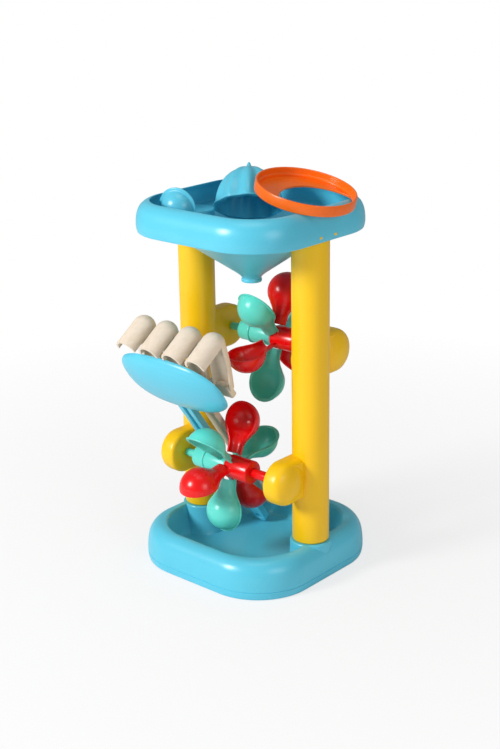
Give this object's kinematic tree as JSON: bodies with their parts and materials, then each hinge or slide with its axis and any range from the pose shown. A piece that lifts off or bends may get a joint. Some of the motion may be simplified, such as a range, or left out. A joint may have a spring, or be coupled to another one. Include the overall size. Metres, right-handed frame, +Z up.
{
  "type": "sand wheel toy",
  "caption": "Sand wheel toy: a tray and a funnel hopper on two yellow posts, two turning cup wheels, a shovel, a rake, a sieve ring and two moulds.",
  "frame": {"origin": "on the ground under the middle of the tray", "axes": "+Z up, X along both wheel axles, -Y the broad front face"},
  "size_m": [0.2094, 0.2119, 0.4062],
  "materials": {
    "light_blue": "soft gloss",
    "yellow": "soft gloss",
    "red": "soft gloss",
    "teal": "soft gloss",
    "orange": "soft gloss",
    "beige": "satin",
    "steel": "brushed"
  },
  "bodies": {
    "frame": {"base_tray": "light_blue", "left_post": "yellow", "right_post": "yellow", "lower_left_cap": "yellow", "lower_right_cap": "yellow", "upper_left_cap": "yellow", "upper_right_cap": "yellow", "lower_axle": "steel", "upper_axle": "steel", "hopper": "light_blue", "funnel": "light_blue"},
    "lower_wheel": {"lower_red_cups": "red", "lower_teal_cups": "teal"},
    "upper_wheel": {"upper_red_cups": "red", "upper_teal_cups": "teal"},
    "shovel": {"shovel": "light_blue"},
    "rake": {"rake": "beige"},
    "sieve_ring": {"sieve_ring": "orange"},
    "shell_mould": {"shell_mould": "light_blue"},
    "small_mould": {"small_mould": "light_blue"}
  },
  "joints": [
    {"name": "lower_wheel_spin", "type": "hinge", "parent": "frame", "child": "lower_wheel", "pos_m": [0, -0.0366, 0.1087], "axis": [1, 0, 0], "continuous": true},
    {"name": "upper_wheel_spin", "type": "hinge", "parent": "frame", "child": "upper_wheel", "pos_m": [0, 0.0366, 0.2278], "axis": [1, 0, 0], "continuous": true},
    {"name": "shovel_lift", "type": "slide", "parent": "frame", "child": "shovel", "axis": [0, -0.5736, 0.8192], "range_m": [0, 0.3]},
    {"name": "rake_lift", "type": "slide", "parent": "shovel", "child": "rake", "axis": [0, -0.5736, 0.8192], "range_m": [0, 0.3]},
    {"name": "sieve_lift", "type": "slide", "parent": "frame", "child": "sieve_ring", "axis": [0, 0, 1], "range_m": [0, 0.1]},
    {"name": "shell_mould_lift", "type": "slide", "parent": "frame", "child": "shell_mould", "axis": [0, 0, 1], "range_m": [0, 0.12]},
    {"name": "small_mould_lift", "type": "slide", "parent": "frame", "child": "small_mould", "axis": [0, 0, 1], "range_m": [0, 0.1]}
  ]
}
